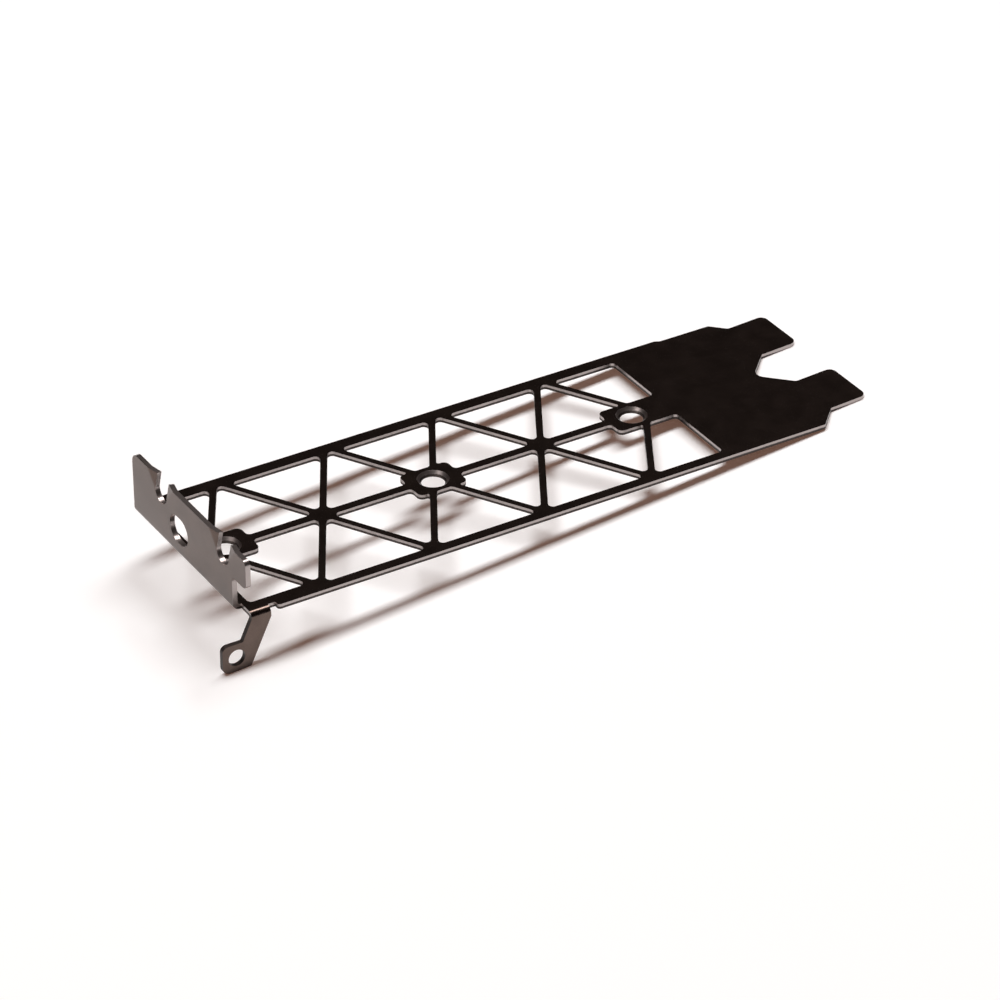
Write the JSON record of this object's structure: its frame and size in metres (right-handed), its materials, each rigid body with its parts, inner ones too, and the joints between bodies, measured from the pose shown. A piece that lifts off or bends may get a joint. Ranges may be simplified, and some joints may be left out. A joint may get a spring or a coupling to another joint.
{
  "type": "pci slot cover bracket",
  "caption": "Vented double-width expansion slot bracket: sheet steel with a triangulated truss, folded screw flange, folded board ear and slot tongues",
  "frame": {"origin": "middle screw hole, in the outer face of the long face", "axes": "+X along the long face towards the tongues, +Y across it towards the edge without the ear, +Z out of the outer face, the way the flange is folded"},
  "size_m": [0.1238, 0.0384, 0.0203],
  "materials": {
    "black_plated_steel": "smooth black-nickel plating with a satin gloss, bare brighter edges"
  },
  "bodies": {
    "root": {"slot_bracket": "black_plated_steel"}
  },
  "joints": []
}
